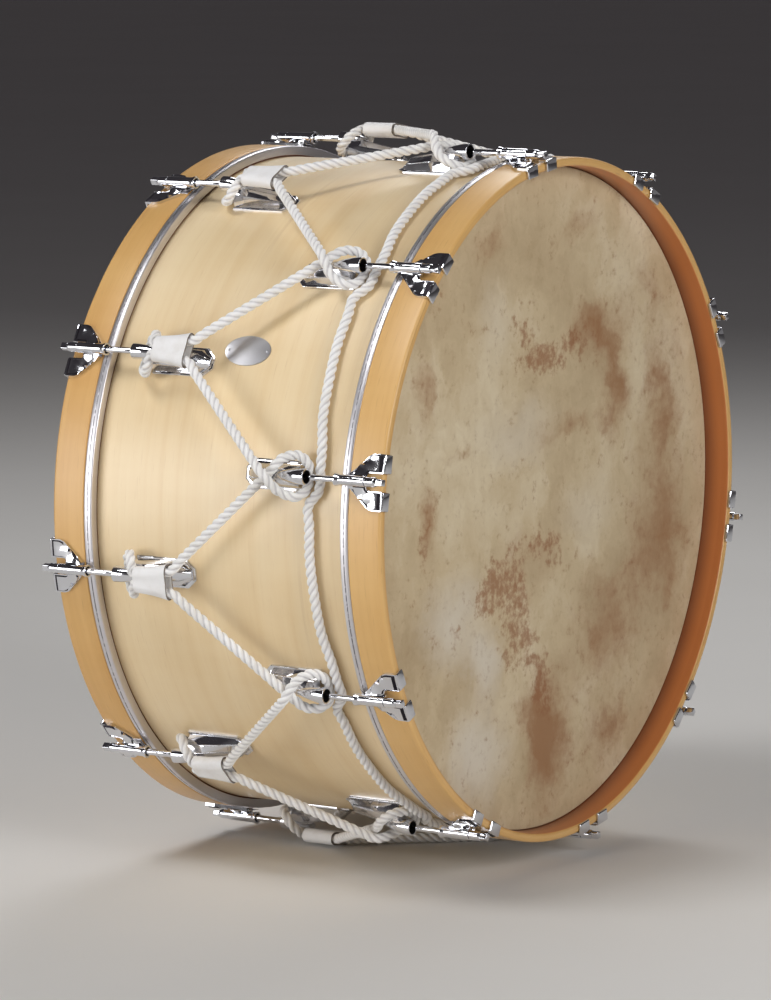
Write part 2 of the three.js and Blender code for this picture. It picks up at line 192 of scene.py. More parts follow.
def maple(name, pale, deep, line, streak_share, lacquer, core_radius=0.0, core=None, shaded=None):
    """Lacquered maple, its grain running round the drum. Inside the core radius it is painted
    darker, with painted shade towards the drum's middle.
    """
    wood = Finish(name, Coat_Weight=lacquer, Coat_Roughness=0.42, Specular_IOR_Level=0.45)
    radius = wood.length_of(wood.stretched((0, 1, 1)))
    plies = radius * ply_change

    def grain(across, along, detail, roughness):
        return wood.node("ShaderNodeTexNoise", {"noise_dimensions": "4D"}, {
            "Vector": wood.stretched((across, along, along)), "W": plies, "Scale": 1.0,
            "Detail": detail, "Roughness": roughness})

    broad = grain(14, 1.1, 4.0, 0.55)
    streaks = grain(75, 1.6, 5.0, 0.6)
    pores = grain(900, 38, 2.0, 0.5)
    figure = wood.noise(wood.stretched((3.0, 16, 16)), 1.0, 3.0, 0.6)
    tone = broad * 0.45 + streaks * 0.4 + figure * 0.25
    shade = wood.node("ShaderNodeValToRGB", {"stops": [
        (0.38, deep), (0.52, [(a + b) / 2 for a, b in zip(pale, deep)]), (0.68, pale)]}, {0: tone})
    shade = wood.mixed(streaks.clipped(0.60, 0.72) * streak_share, shade, line)
    shade = wood.mixed(pores.clipped(0.60, 0.78) * 0.35, shade, line)
    if core:
        # Inside the core radius the wood is painted darker: painted shade in the shaded colour
        # towards the drum's middle, the core colour towards the rim.
        inside = 1.0 - radius.clipped(core_radius, core_radius + core_fade)
        lit = wood.from_middle().clipped(shell_edge, shell_edge + core_lit_run)
        shade = wood.mixed(inside * 0.85, shade, wood.mixed(lit, shaded, core))
    wood.feed(wood.shader, {"Base Color": shade, "Roughness": streaks * 0.16 + 0.32})
    wood.bumped(streaks * 0.6 + pores * 0.4, 0.00012, 0.35)
    return wood.material


def outlined(points, rounding):
    """A closed outline of (along, out) points, with corners rounded off as {index: size}."""
    flat = bmesh.new()
    corners = [flat.verts.new((along, 0, out)) for along, out in points]
    flat.faces.new(corners)
    for index, size in rounding.items():
        bmesh.ops.bevel(flat, geom=[corners[index]], offset=size, offset_type="OFFSET",
                        segments=5, profile=0.5, affect="VERTICES", material=-1)
    bmesh.ops.delete(flat, geom=flat.faces[:], context="FACES_ONLY")
    return flat


def turned(outline, steps, height=0.0):
    """The ring that an outline sweeps about the drum's axis, or about a line above it."""
    bmesh.ops.spin(outline, geom=outline.verts[:] + outline.edges[:], cent=(0, 0, height),
                   axis=(1, 0, 0), dvec=(0, 0, 0), angle=math.tau, steps=steps, use_merge=True,
                   use_duplicate=False)
    bmesh.ops.remove_doubles(outline, verts=outline.verts[:], dist=axis_weld)
    bmesh.ops.delete(outline, geom=[e for e in outline.edges if not e.link_faces],
                     context="EDGES")
    bmesh.ops.recalc_face_normals(outline, faces=outline.faces[:])
    return outline


def piece(name, form, material, body, replaces=(), crease=32):
    """Makes a form a piece of the drum, smooth but for the edges sharper than the crease."""
    for face in form.faces:
        face.smooth = True
    for edge in form.edges:
        edge.smooth = edge.calc_face_angle(0) < math.radians(crease)
    mesh = bpy.data.meshes.new(name)
    form.to_mesh(mesh)
    form.free()
    mesh.materials.append(material)
    made = bpy.data.objects.new(name, mesh)
    bpy.context.scene.collection.objects.link(made)
    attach(made, body)
    if replaces:
        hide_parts(*replaces)
    return made


shell_maple = maple("shell_maple", colour(243, 220, 178), colour(228, 196, 144),
                    colour(204, 166, 114), 0.36, 0.9)
slope_start = shell_edge - bearing_slope
inner_radius = shell_radius - shell_wall
shell = piece("maple_shell", turned(outlined([
    (-shell_edge, shell_radius), (shell_edge, shell_radius),
    (shell_edge, shell_radius - bearing_flat), (slope_start, inner_radius),
    (-slope_start, inner_radius), (-shell_edge, shell_radius - bearing_flat)], {}), ring_steps),
    shell_maple, "drum", ["shell"])


# Air vent: a round hole on the side away from the photographer, lined with a rolled brass eyelet
# that is pressed in and bright plated. It lets air out when a head is struck.
vent_radius = 0.006
drill_length = 0.04
eyelet_bore = 0.0045
eyelet_tube = 0.0055
eyelet_flange = 0.0095
eyelet_length = 0.0075
eyelet_crown = 0.0016
eyelet_edge = 0.0004
eyelet_edge_round = 0.0003
drill = bmesh.new()
bmesh.ops.create_cone(drill, cap_ends=True, segments=48, radius1=vent_radius, radius2=vent_radius,
                      depth=drill_length, matrix=Matrix.Translation((0, shell_radius, 0))
                      @ Matrix.Rotation(math.pi / 2, 4, "X"))
drill_mesh = bpy.data.meshes.new("drill")
drill.to_mesh(drill_mesh)
drill.free()
drill_bit = bpy.data.objects.new("drill", drill_mesh)
bpy.context.scene.collection.objects.link(drill_bit)
drilling = shell.modifiers.new("vent", "BOOLEAN")
drilling.object = drill_bit
drilling.solver = "EXACT"
bpy.context.view_layer.update()
drilled = bpy.data.meshes.new_from_object(
    shell.evaluated_get(bpy.context.evaluated_depsgraph_get()))
shell.modifiers.clear()
shell.data = drilled
drilled.name = "maple_shell"
bpy.data.objects.remove(drill_bit)


def polished(name, shade, roughness, wave):
    """Plated metal: smeared a little in places, and not quite flat, so its reflections break."""
    metal = Finish(name, Base_Color=shade, Metallic=1.0, Specular_IOR_Level=0.5)
    smears = metal.noise(metal.place, 90, 4.0, 0.6)
    metal.feed(metal.shader, {"Roughness": smears.clipped(0.35, 0.75) * roughness + roughness * 0.6})
    metal.bumped(metal.noise(metal.place, 55, 2.0, 0.5), wave)
    return metal.material


chrome = polished("chrome", colour(226, 227, 232), 0.09, 0.0006)
eyelet = outlined([
    (eyelet_bore, -eyelet_length), (eyelet_bore, eyelet_crown), (eyelet_flange, eyelet_edge),
    (eyelet_flange, 0), (eyelet_tube, 0), (eyelet_tube, -eyelet_length)],
    {1: eyelet_crown / 2, 2: eyelet_edge_round})
bmesh.ops.spin(eyelet, geom=eyelet.verts[:] + eyelet.edges[:], cent=(0, 0, 0), axis=(0, 0, 1),
               dvec=(0, 0, 0), angle=math.tau, steps=64, use_merge=True, use_duplicate=False)
bmesh.ops.recalc_face_normals(eyelet, faces=eyelet.faces[:])
bmesh.ops.transform(eyelet, verts=eyelet.verts[:], matrix=Matrix.Translation(
    (0, shell_radius, 0)) @ Matrix.Rotation(-math.pi / 2, 4, "X"))
piece("vent_eyelet", eyelet, chrome, "drum")


# Heads: natural skin, soaked, lapped round its flesh hoop and dried tight. Each head is flat over
# the bearing edges and turns down outside them. The hide's own brown mottling shows through.
skin_bend = 0.0014
shadow_line_low, shadow_line_high = 0.1447, 0.1452
drift_reach = 0.08


def calfskin(name, stains, clusters, pale_places):
    """Natural skin. Each mark is its place across and up the head, its half sizes and its share."""
    hide = Finish(name, Specular_IOR_Level=0.35, Sheen_Weight=0.05)
    drift = hide.node("ShaderNodeTexNoise", None, {
        "Vector": hide.place, "Scale": 14.0, "Detail": 5.0, "Roughness": 0.65}, 1)
    warped = hide.node("ShaderNodeVectorMath", {"operation": "MULTIPLY_ADD"}, {
        0: drift, 1: (0, drift_reach, drift_reach), 2: hide.place})
    cloud = hide.noise(warped, 5.5, 6.0, 0.62)
    patches = hide.noise(warped, 26.0, 6.0, 0.62)
    crumbs = hide.noise(hide.place, 120.0, 5.0, 0.62)
    strands = hide.noise(hide.stretched((1, 30, 9), warped), 1.0, 5.0, 0.6)

    def near(marks):
        nearness = 0.0
        for across, up, half_width, half_height, share in marks:
            away = hide.node("ShaderNodeVectorMath", {"operation": "MULTIPLY_ADD"}, {
                0: warped, 1: (0, 1 / half_width, 1 / half_height),
                2: (0, -(across + drift_reach / 2) / half_width,
                    -(up + drift_reach / 2) / half_height)})
            nearness = (1.0 - hide.length_of(away)).clipped(0.0, 1.0) * share + nearness
        return nearness

    shade = hide.node("ShaderNodeValToRGB", {"stops": [
        (0.36, colour(180, 157, 122)), (0.5, colour(204, 184, 149)),
        (0.62, colour(222, 207, 177))]}, {0: cloud * 0.65 + patches * 0.2 + strands * 0.15})
    shade = hide.mixed(near(pale_places).clipped(0.0, 1.0) * 0.7, shade, colour(222, 215, 202))
    torn = patches * 0.6 + strands * 0.2 + crumbs * 0.2 - 0.5
    tan = (near(stains) + torn * 2.2).clipped(0.05, 1.05)
    shade = hide.mixed(tan * 0.9, shade, colour(154, 110, 72))
    speckle = (near(clusters) + torn * 2.6 + (crumbs - 0.5) * 3.0).clipped(0.34, 1.40)
    shade = hide.mixed(speckle * 0.75, shade, colour(148, 95, 58))
    shade = hide.mixed(crumbs.clipped(0.50, 0.75) * 0.25, shade, colour(158, 128, 92))
    # Painted shadow: the end of each skirt, at its foot by the shell, is painted dark red-brown.
    edge = 1.0 - hide.from_middle().clipped(shadow_line_low, shadow_line_high)
    shade = hide.mixed(edge, shade, colour(96, 54, 34))
    hide.feed(hide.shader, {"Base Color": shade, "Roughness": cloud * 0.2 + 0.46})
    hide.bumped(crumbs * 0.4 + patches * 0.6, 0.0005, 0.4)
    return hide.material


skin_finishes = {
    "right": calfskin("right_calfskin", [
        (0.108, 0.160, 0.100, 0.050, 0.8), (0.140, 0.095, 0.050, 0.080, 0.9),
        (0.233, 0.090, 0.070, 0.120, 0.7), (0.235, -0.050, 0.100, 0.160, 0.8),
        (0.130, -0.150, 0.110, 0.120, 0.7), (0.130, -0.255, 0.100, 0.060, 0.6),
        (0.005, -0.235, 0.080, 0.110, 1.1), (0.045, 0.066, 0.110, 0.018, 0.6),
        (-0.218, 0.125, 0.030, 0.060, 0.6), (-0.210, -0.010, 0.030, 0.060, 0.6),
        (0.060, 0.270, 0.060, 0.030, 0.5), (-0.100, 0.260, 0.070, 0.040, 0.5),
        (-0.020, -0.060, 0.100, 0.060, 0.5), (-0.158, 0.060, 0.060, 0.014, 0.5),
        (0.200, 0.200, 0.080, 0.060, 0.4)], [
        (0.004, 0.140, 0.095, 0.030, 1.1), (-0.030, 0.172, 0.050, 0.028, 0.7),
        (-0.004, -0.040, 0.070, 0.040, 0.9), (-0.080, -0.080, 0.100, 0.046, 1.2),
        (-0.045, -0.138, 0.070, 0.060, 1.2), (0.000, -0.190, 0.045, 0.045, 0.9),
        (0.033, -0.070, 0.045, 0.030, 0.6), (0.080, 0.150, 0.060, 0.040, 0.6),
        (-0.160, -0.110, 0.030, 0.020, 0.6), (-0.215, -0.030, 0.020, 0.040, 0.7)], [
        (-0.120, -0.240, 0.090, 0.090, 0.9), (-0.170, -0.100, 0.100, 0.080, 0.8),
        (-0.060, 0.070, 0.130, 0.060, 0.5), (0.090, -0.020, 0.090, 0.060, 0.4),
        (-0.090, 0.180, 0.060, 0.080, 0.4), (-0.110, -0.150, 0.050, 0.050, 0.8)]),
    "left": calfskin("left_calfskin", [
        (0.120, 0.100, 0.110, 0.080, 0.8), (-0.140, 0.030, 0.090, 0.130, 0.7),
        (0.020, -0.180, 0.140, 0.080, 0.9), (-0.060, 0.240, 0.090, 0.050, 0.6),
        (0.200, -0.080, 0.070, 0.100, 0.6)], [
        (0.060, 0.120, 0.060, 0.040, 0.9), (-0.100, 0.000, 0.050, 0.060, 0.9),
        (0.030, -0.120, 0.060, 0.040, 1.0), (-0.020, -0.200, 0.040, 0.050, 0.9),
        (0.150, -0.030, 0.040, 0.040, 0.6)], [
        (0.000, 0.020, 0.090, 0.070, 0.6), (-0.160, -0.160, 0.090, 0.080, 0.7),
        (0.100, 0.220, 0.070, 0.060, 0.5)])}
half_turn = {"right": Matrix.Identity(4), "left": Matrix.Rotation(math.pi, 4, "Z")}
for side in half_turn:
    low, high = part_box(f"{side}_head")
    skirt, face = sorted((abs(low.x), abs(high.x)))
    outside = high.y
    inside = outside - skin_thickness
    head = turned(outlined([
        (face - skin_thickness, 0), (face - skin_thickness, inside), (skirt, inside),
        (skirt, outside), (face, outside), (face, 0)], {4: skin_bend}), ring_steps)
    bmesh.ops.transform(head, matrix=half_turn[side], verts=head.verts[:])
    piece(f"{side}_skin", head, skin_finishes[side], "drum", [f"{side}_head"])


# Flesh hoops: the skins are lapped on these metal rings, which sit directly under the wooden
# hoops. Each shows as a bright crowned band with a fine groove rolled along its middle.
band_depth = 0.0092
band_near_drop = 0.0004
band_far_drop = 0.0006
band_near_round = 0.0011
crown_half_width = 0.0019
groove_half_width = 0.0005
groove_depth = 0.0009
groove_place = sum(abs(corner.x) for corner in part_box("right_flesh_hoop")) / 2
flesh_metal = Finish("flesh_hoop_metal", Metallic=1.0)
brushing = flesh_metal.noise(flesh_metal.stretched((1400, 5, 5)), 1.0, 3.0, 0.6)
from_groove = flesh_metal.size_of(flesh_metal.from_middle() - groove_place)
# The rolled groove is painted darker, in broken dots along it.
groove_dots = (1.0 - from_groove.clipped(0.0004, 0.0008)) * flesh_metal.noise(
    flesh_metal.place, 240.0, 1.0, 0.5).clipped(0.35, 0.5)
flesh_metal.feed(flesh_metal.shader, {
    "Base Color": flesh_metal.mixed(groove_dots * 0.55, colour(222, 220, 224), colour(70, 66, 70)),
    "Roughness": brushing * 0.25 + 0.26})
flesh_metal.bumped(brushing, 0.00006)
for side in half_turn:
    low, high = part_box(f"{side}_flesh_hoop")
    near, far = sorted((abs(low.x), abs(high.x)))
    outside = high.y
    inside = outside - band_depth
    middle = (near + far) / 2
    ring = turned(outlined([
        (near, inside), (near, outside - band_near_drop), (middle - crown_half_width, outside),
        (middle - groove_half_width, outside), (middle, outside - groove_depth),
        (middle + groove_half_width, outside), (middle + crown_half_width, outside),
        (far, outside - band_far_drop), (far, inside)],
        {1: band_near_round, 7: band_far_drop}), ring_steps)
    bmesh.ops.transform(ring, matrix=half_turn[side], verts=ring.verts[:])
    piece(f"{side}_metal_flesh_hoop", ring, flesh_metal.material, "drum",
          [f"{side}_flesh_hoop"])


# Counterhoops: hoops of steam-bent maple, stained amber and lacquered, with their edges rounded
# over. The claws hook on their rims and press them down on the flesh hoops.
hoop_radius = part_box("right_counterhoop")[1].y
hoop_wall = 0.009
hoop_bore = hoop_radius - hoop_wall
hoop_rounding = {0: 0.0006, 1: 0.0013, 2: 0.0028, 3: 0.0026}
core_margin = 0.0002
# The hoops' inner walls are painted darker, with painted shade in deep red-brown towards the drum's
# middle.
hoop_maple = maple("hoop_maple", colour(228, 184, 116), colour(207, 154, 84),
                   colour(160, 106, 52), 0.40, 0.5, hoop_bore + core_margin,
                   colour(202, 112, 54), colour(124, 44, 22))
for side in half_turn:
    low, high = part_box(f"{side}_counterhoop")
    near, hoop_rim = sorted((abs(low.x), abs(high.x)))
    hoop = turned(outlined([
        (near, hoop_bore), (near, hoop_radius), (hoop_rim, hoop_radius), (hoop_rim, hoop_bore)],
        hoop_rounding), ring_steps)
    bmesh.ops.transform(hoop, matrix=half_turn[side], verts=hoop.verts[:])
    piece(f"{side}_wooden_hoop", hoop, hoop_maple, "drum", [f"{side}_counterhoop"])


# Lugs: cast casings, chromed, screwed to the shell ten to a side. A flange lies on the shell, a
# faceted ridge rises towards the rod, and a bullet-shaped boss, which overhangs the base so that
# the rope can tuck under it, takes the rod's thread.
first_station = {"right": 27, "left": 9}
station_count = 10
station_step = 360 // station_count
rod_lift = 0.010
rod_height = hoop_radius + rod_lift
lug_rod_end = 0.111
boss_overhang = 0.0135
lug_base_end = lug_rod_end - boss_overhang
lug_tip = 0.030
lug_tip_half_width = 0.006
lug_tip_length = 0.0095
lug_half_width = 0.0145
lug_sink = 0.0006
flange_height = 0.0030
flange_round = 0.0009
ridge_set_back = 0.0006
ridge_foot = 0.0020
ridge_foot_half_width = 0.0124
ridge_hip = (0.0096, 0.0125)
ridge_top = (0.0046, 0.0203)
ridge_bend = 0.043
ridge_bend_shares = (1.0, 0.54)
ridge_end_run = 0.0095
ridge_end_shares = (0.45, 0.22)
ridge_short_edge = 0.0025
ridge_round = 0.0008
boss_start = 0.0750
boss_radius = 0.0080
boss_sag = 0.0035
mouth_radius = 0.0066
mouth_depth = 0.006
mouth_edge = 0.0005
mouth_floor = lug_rod_end - mouth_depth
bore_radius = 0.0034
bore_room = 0.001
tolerance = 0.00001


def station(side, number):
    """A station's place: its angle round the drum, and end for end on the left-hand side."""
    degrees = first_station[side] + station_step * number
    return Matrix.Rotation(-math.radians(degrees), 4, "X") @ half_turn[side]


def block(form, low, high, edge):
    """A block between two corners with rounded edges, added to a form."""
    size = Vector(high) - Vector(low)
    middle = (Vector(high) + Vector(low)) / 2
    made = bmesh.ops.create_cube(form, size=1.0, matrix=Matrix.Translation(middle)
                                 @ Matrix.Diagonal((*size, 1)))["verts"]
    bmesh.ops.bevel(form, geom=list({e for v in made for e in v.link_edges}), offset=edge,
                    segments=3, profile=0.5, affect="EDGES", material=-1)


def joined(form, other):
    """Adds another form to a form."""
    mesh = bpy.data.meshes.new("joined")
    other.to_mesh(mesh)
    other.free()
    form.from_mesh(mesh)
    bpy.data.meshes.remove(mesh)


def drawn_out(form, faces):
    """Extrudes faces and gives what is new: its points and its faces."""
    new = bmesh.ops.extrude_face_region(form, geom=faces)["geom"]
    return ([item for item in new if isinstance(item, bmesh.types.BMVert)],
            [item for item in new if isinstance(item, bmesh.types.BMFace)])


def painted_shade_metal(name, dark, pale, grain, roughness, **sockets):
    """Dark metal as painted shade, in a recess or a mouth round a thread, and left rough."""
    metal = Finish(name, **sockets)
    metal.feed(metal.shader, {
        "Base Color": metal.mixed(metal.noise(metal.place, grain), dark, pale),
        "Roughness": metal.noise(metal.place, 300.0) * 0.3 + roughness})
    return metal.material


# Painted shade: near-black metal for the inside of the lugs' mouths.
mouth_shade = painted_shade_metal("lug_mouth_shade", colour(14, 12, 14), colour(44, 40, 42), 600.0, 0.4,
                    Specular_IOR_Level=0.4)
rod_tip, rod_end = sorted(abs(corner.x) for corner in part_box("right_rod_01"))


def make_lug():
    """One lug, in its station's own place."""
    casting = bmesh.new()
    sole = shell_radius - lug_sink
    half = [(lug_tip, lug_tip_half_width), (lug_tip + lug_tip_length, lug_half_width),
            (lug_base_end, lug_half_width)]
    outline = half + [(along, -side) for along, side in reversed(half)]
    flange = casting.faces.new([casting.verts.new((along, side, sole)) for along, side in outline])
    top = drawn_out(casting, [flange])[0]
    bmesh.ops.translate(casting, verts=top, vec=(0, 0, flange_height))
    upper = [e for e in casting.edges if all(v in top for v in e.verts)]
    bmesh.ops.bevel(casting, geom=upper, offset=flange_round, segments=3, profile=0.5,
                    affect="EDGES", material=-1)

    # The ridge: its section at the rod end is drawn back along the shell, lower, to the tip.
    foot = shell_radius + ridge_foot
    half = [(ridge_foot_half_width, foot)]
    half += [(side, foot + height) for side, height in (ridge_hip, ridge_top)]
    section = half + [(-side, height) for side, height in reversed(half)]
    start = lug_base_end - ridge_set_back
    end = casting.faces.new([casting.verts.new((start, side, height)) for side, height in section])
    for back, (width_share, height_share) in (
            (start - ridge_bend, ridge_bend_shares), (ridge_end_run, ridge_end_shares)):
        moved, ends = drawn_out(casting, [end])
        bmesh.ops.translate(casting, verts=moved, vec=(-back, 0, 0))
        bmesh.ops.scale(casting, verts=moved, vec=(1, width_share, height_share),
                        space=Matrix.Translation((0, 0, -foot)))
        end = ends[0]
    ridge = [e for e in casting.edges if e.calc_length() > ridge_short_edge
             and all(v.co.z >= foot - tolerance for v in e.verts)]
    bmesh.ops.bevel(casting, geom=ridge, offset=ridge_round, segments=2, profile=0.5,
                    affect="EDGES", material=-1)

    # The boss: a bullet whose open end is painted near-black inside as shade, its point sunk in the
    # ridge.
    bullet_shares = [(0.0, 0.0), (0.02, 0.16), (0.10, 0.40), (0.26, 0.62), (0.50, 0.83),
                     (0.75, 0.95), (1.0, 1.0)]
    boss_length = lug_rod_end - boss_start
    profile = [(boss_start + boss_length * along, rod_height + boss_radius * out)
               for along, out in bullet_shares]
    bore_end = rod_tip - bore_room
    boss = turned(outlined(profile + [
        (lug_rod_end, rod_height + mouth_radius), (mouth_floor, rod_height + mouth_radius),
        (mouth_floor, rod_height + bore_radius), (bore_end, rod_height + bore_radius),
        (bore_end, rod_height)], {6: mouth_edge}), 40, rod_height)
    for vert in boss.verts:
        vert.co.z -= boss_sag * max(0, mouth_floor - vert.co.x) / boss_length
    joined(casting, boss)
    bmesh.ops.recalc_face_normals(casting, faces=casting.faces[:])
    # Painted shade: the faces inside the mouth take the near-black second material.
    for face in casting.faces:
        middle = face.calc_center_median()
        face.material_index = int(middle.x > mouth_floor - tolerance and math.hypot(
            middle.y, middle.z - rod_height) < mouth_radius)
    return casting


for side in first_station:
    for number in range(station_count):
        lug = make_lug()
        bmesh.ops.transform(lug, matrix=station(side, number), verts=lug.verts[:])
        casing = piece(f"{side}_lug_{number + 1:02d}", lug, chrome, "drum", crease=25)
        casing.data.materials.append(mouth_shade)


# Tension rods: 6 mm steel screws, chromed. Each passes through its claw's barrel into the lug,
# and has a round head that bears on the barrel and a square end for the drum key.
rod_radius = 0.003
rod_tip_radius = 0.0025
rod_chamfer = 0.0008
head_start = 0.1778
head_end = 0.1880
head_radius = 0.0047
head_edges = {4: 0.0006, 5: 0.0008}
neck_length = 0.0025
neck_radius = 0.0036
key_square = 0.00635
key_sink = 0.001
key_edge = 0.0006


def make_rod():
    """One rod, in its station's own place."""
    axis = rod_height
    neck_end = head_end + neck_length
    screw = turned(outlined([
        (rod_tip, axis), (rod_tip, axis + rod_tip_radius),
        (rod_tip + rod_chamfer, axis + rod_radius), (head_start, axis + rod_radius),
        (head_start, axis + head_radius), (head_end, axis + head_radius),
        (neck_end, axis + neck_radius), (neck_end, axis)], head_edges), 36, axis)
    across = key_square / 2
    block(screw, (head_end + key_sink, -across, axis - across), (rod_end, across, axis + across),
          key_edge)
    return screw


for side in first_station:
    for number in range(station_count):
        name = f"{side}_rod_{number + 1:02d}"
        rod = make_rod()
        bmesh.ops.transform(rod, matrix=station(side, number), verts=rod.verts[:])
        piece(f"{side}_tension_rod_{number + 1:02d}", rod, chrome, name, [name])


# Claws: cast and chromed. A barrel, flared where the rod leaves it, stands on two swept wings
# with a raised border, which lie on the wooden hoop and hook over its rim.
claw_seat = hoop_radius + 0.00015
claw_plate = 0.0028
claw_apex = 0.1545
claw_apex_half_width = 0.0055
claw_shoulder = 0.1775
claw_half_width = 0.027
claw_notch = 0.1748
claw_notch_half_width = 0.0085
shoulder_round = 0.0045
notch_round = 0.0025
rim_gap = hoop_rim + 0.0003
tab_face = rim_gap + 0.0030
tab_lip = 0.0018
tab_reach = 0.0098
tab_top_drop = 0.0006
tab_edge = 0.0014
wing_rows = (0.004, 0.0115, 0.016, 0.0205, 0.0245)
wing_columns = (0.160, 0.166, 0.1715, 0.182)
field_start = 0.0075
border_width = 0.0011
slope_width = 0.0010
slope_depth = 0.0015
rim_border = 0.0045
rim_border_more = 0.0020
spine_half_width = 0.003
spine_flank = 0.0105
spine_end = 0.1765
spine_run = 0.006
spine_rise = 0.0052
web_half_width = 0.0040
web_start = claw_apex + 0.001
web_end = claw_notch + 0.0015
web_sink = 0.0006
web_top_drop = 0.0043
web_edge = 0.0008
barrel_profile = [(0.1440, 0.0046), (0.1440, 0.0063), (0.1462, 0.0061), (0.1492, 0.0052),
                  (0.1775, 0.0052), (0.1775, 0.0034), (0.1475, 0.0034)]
barrel_edges = {1: 0.0004, 3: 0.0012, 4: 0.0005}
# Painted shade: dark metal for the sloping sides round the wings' sunk fields.
recess_shade_metal = painted_shade_metal("claw_recess_shade", colour(34, 31, 36), colour(66, 62, 68), 500.0, 0.35,
                          Metallic=1.0)


def cut_across(form, place, normal):
    """Adds edges to a flat form where a plane crosses it, so that it can be bent there."""
    bmesh.ops.bisect_plane(form, geom=form.verts[:] + form.edges[:] + form.faces[:],
                           plane_co=place, plane_no=normal, dist=tolerance)


def make_claw():
    """One claw, in its station's own place."""
    casting = bmesh.new()
    lip = tab_face - tab_lip
    outline = [(claw_apex, 0), (claw_apex, claw_apex_half_width), (claw_shoulder, claw_half_width),
               (lip, claw_half_width), (lip, claw_notch_half_width),
               (claw_notch, claw_notch_half_width), (claw_notch, 0)]
    corners = [casting.verts.new((along, side, 0)) for along, side in outline]
    casting.faces.new(corners)
    for corner, size, steps in ((2, shoulder_round, 5), (5, notch_round, 4)):
        bmesh.ops.bevel(casting, geom=[corners[corner]], offset=size, segments=steps, profile=0.5,
                        affect="VERTICES", material=-1)
    for side in wing_rows:
        cut_across(casting, (0, side, 0), (0, 1, 0))
    for along in wing_columns:
        cut_across(casting, (along, 0, 0), (1, 0, 0))
    top, top_faces = drawn_out(casting, casting.faces[:])
    bmesh.ops.translate(casting, verts=top, vec=(0, 0, claw_plate))
    field = [f for f in top_faces if f.calc_center_median().y > field_start]
    bmesh.ops.inset_region(casting, faces=field, thickness=border_width, depth=0,
                           use_even_offset=True)
    slopes = bmesh.ops.inset_region(casting, faces=field, thickness=slope_width,
                                    depth=-slope_depth, use_even_offset=True)["faces"]
    # Painted shade: the sloping sides take the dark second material.
    for slope in slopes:
        slope.material_index = 1
    for vert in {v for f in field for v in f.verts}:
        if vert.co.x > tab_face - rim_border:
            vert.co.x -= rim_border_more
    for vert in casting.verts:
        if vert.co.z > claw_plate / 2:
            beside = max(0, 1 - max(0, vert.co.y - spine_half_width) / spine_flank)
            ahead = min(1, max(0, (spine_end - vert.co.x) / spine_run))
            vert.co.z += spine_rise * beside ** 2 * ahead
        vert.co.z += math.sqrt(claw_seat ** 2 - vert.co.y ** 2)
    bmesh.ops.mirror(casting, geom=casting.verts[:] + casting.edges[:] + casting.faces[:],
                     matrix=Matrix.Identity(4), merge_dist=tolerance, axis="Y")
    bmesh.ops.recalc_face_normals(casting, faces=casting.faces[:])
    for low, high in ((claw_notch_half_width, claw_half_width),
                      (-claw_half_width, -claw_notch_half_width)):
        block(casting, (rim_gap, low, hoop_radius - tab_reach),
              (tab_face, high, claw_seat + claw_plate - tab_top_drop), tab_edge)
    block(casting, (web_start, -web_half_width, claw_seat + web_sink),
          (web_end, web_half_width, rod_height - web_top_drop), web_edge)
    profile = [(along, rod_height + out) for along, out in barrel_profile]
    joined(casting, turned(outlined(profile, barrel_edges), 40, rod_height))
    return casting


for side in first_station:
    for number in range(station_count):
        name = f"{side}_claw_{number + 1:02d}"
        claw = make_claw()
        bmesh.ops.transform(claw, matrix=station(side, number), verts=claw.verts[:])
        made = piece(f"{side}_hoop_claw_{number + 1:02d}", claw, chrome, name, [name], 28)
        made.data.materials.append(recess_shade_metal)


# Ropes: white cotton, three strands laid right-handed, 10 mm thick. One zigzags between the lugs
# of the two sides, round each lug's rod end; the other runs round the shell near the right rim.
rope_radius = 0.005
rope_gap = 0.0004
rope_pitch = 0.026
rope_step = 0.0015
rope_weld = 0.000005
strand_count = 3
lay_depth = 0.30
lay_sharpness = 1.6
long_run = 0.045
straight_end = 0.015
rope_over_shell = shell_radius + rope_radius + rope_gap
loop_half_width = lug_half_width + rope_radius
cotton = Finish("white_rope", Specular_IOR_Level=0.2, Sheen_Weight=0.3, Sheen_Roughness=0.6)
fibres = cotton.node("ShaderNodeAttribute", {"attribute_name": "fibre"}, None, "Vector")
groove = cotton.node("ShaderNodeAttribute", {"attribute_name": "groove"}, None, "Fac")
yarns = cotton.noise(cotton.stretched((7, 7, 60), fibres), 1.0, 4.0, 0.6)
fuzz = cotton.noise(cotton.place, 900.0, 3.0, 0.6)
wear = cotton.noise(cotton.place, 16.0, 4.0, 0.6)
rope_shade = cotton.mixed(wear.clipped(0.4, 0.7), colour(250, 249, 248), colour(240, 238, 234))
# Painted shade: the grooves between the strands are darkened by their depth.
rope_shade = cotton.mixed(groove.clipped(0.35, 1.0) * 0.50, rope_shade, colour(170, 164, 170))
rope_shade = cotton.mixed(yarns.clipped(0.5, 0.75) * 0.20, rope_shade, colour(208, 206, 206))
cotton.feed(cotton.shader, {"Base Color": rope_shade, "Roughness": fuzz * 0.15 + 0.8})
cotton.bumped(yarns * 0.7 + fuzz * 0.3, 0.0005, 0.8)


